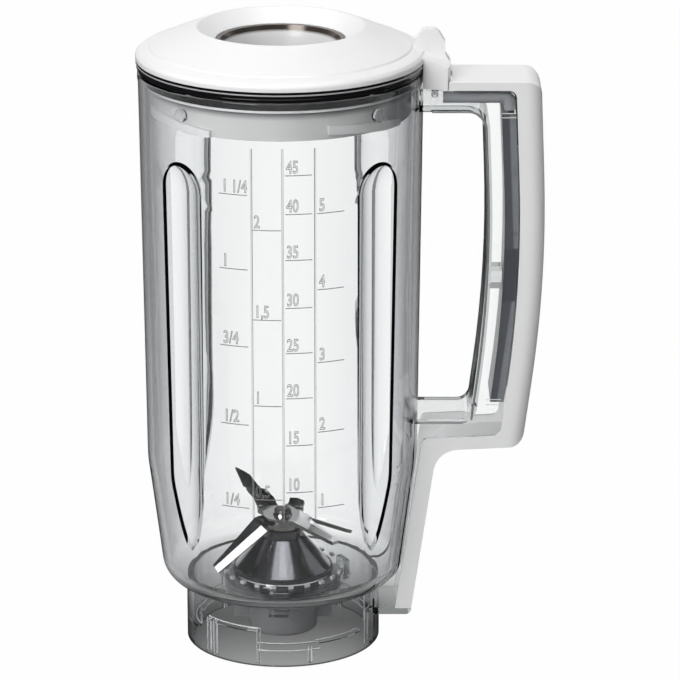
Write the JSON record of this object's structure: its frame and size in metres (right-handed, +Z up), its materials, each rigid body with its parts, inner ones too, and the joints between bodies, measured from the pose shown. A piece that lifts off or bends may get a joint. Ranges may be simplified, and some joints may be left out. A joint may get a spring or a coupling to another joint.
{
  "type": "blender jar",
  "caption": "Tall clear fluted jar with a covered side handle, twist-on lid with seal and filler funnel, and a bayonet blade carrier with bent ground blades on a driven shaft.",
  "frame": {"origin": "centre of the base ring's lower face, on the jar's axis", "axes": "+Z up along the jar's axis, +X towards the handle"},
  "size_m": [0.1572, 0.1112, 0.2485],
  "materials": {
    "clear_plastic": "clear, polished",
    "white_plastic": "moulded, satin gloss",
    "dark_plastic": "moulded, matt",
    "grey_plastic": "moulded, matt",
    "seal_rubber": "smooth",
    "blade_steel": "ground",
    "polished_steel": "polished",
    "bearing_bronze": "turned"
  },
  "bodies": {
    "jar": {"jar_body": "clear_plastic", "handle_cover": "white_plastic", "handle_strip": "dark_plastic"},
    "lid": {"lid": "white_plastic", "lid_seal": "seal_rubber", "filler_funnel": "clear_plastic"},
    "carrier": {"blade_carrier": "grey_plastic", "carrier_seal": "seal_rubber", "bearing_cone": "polished_steel", "upper_bearing": "bearing_bronze", "lower_bearing": "bearing_bronze", "shaft_seal": "seal_rubber"},
    "rotor": {"blade_shaft": "blade_steel", "blade_spacer": "blade_steel", "thrust_washer": "dark_plastic", "drive_coupling": "dark_plastic", "retaining_ring": "blade_steel", "lower_blade": "blade_steel", "upper_blade": "blade_steel", "blade_washer": "blade_steel", "blade_nut": "polished_steel"}
  },
  "joints": [
    {"name": "lid_twist", "type": "hinge", "parent": "jar", "child": "lid", "pos_m": [0, 0, 0.232], "axis": [0, 0, 1], "range_deg": [-20, 0]},
    {"name": "carrier_twist", "type": "hinge", "parent": "jar", "child": "carrier", "pos_m": [0, 0, 0.025], "axis": [0, 0, 1], "range_deg": [0, 35]},
    {"name": "rotor_spin", "type": "hinge", "parent": "carrier", "child": "rotor", "pos_m": [0, 0, 0.04], "axis": [0, 0, 1], "continuous": true}
  ]
}
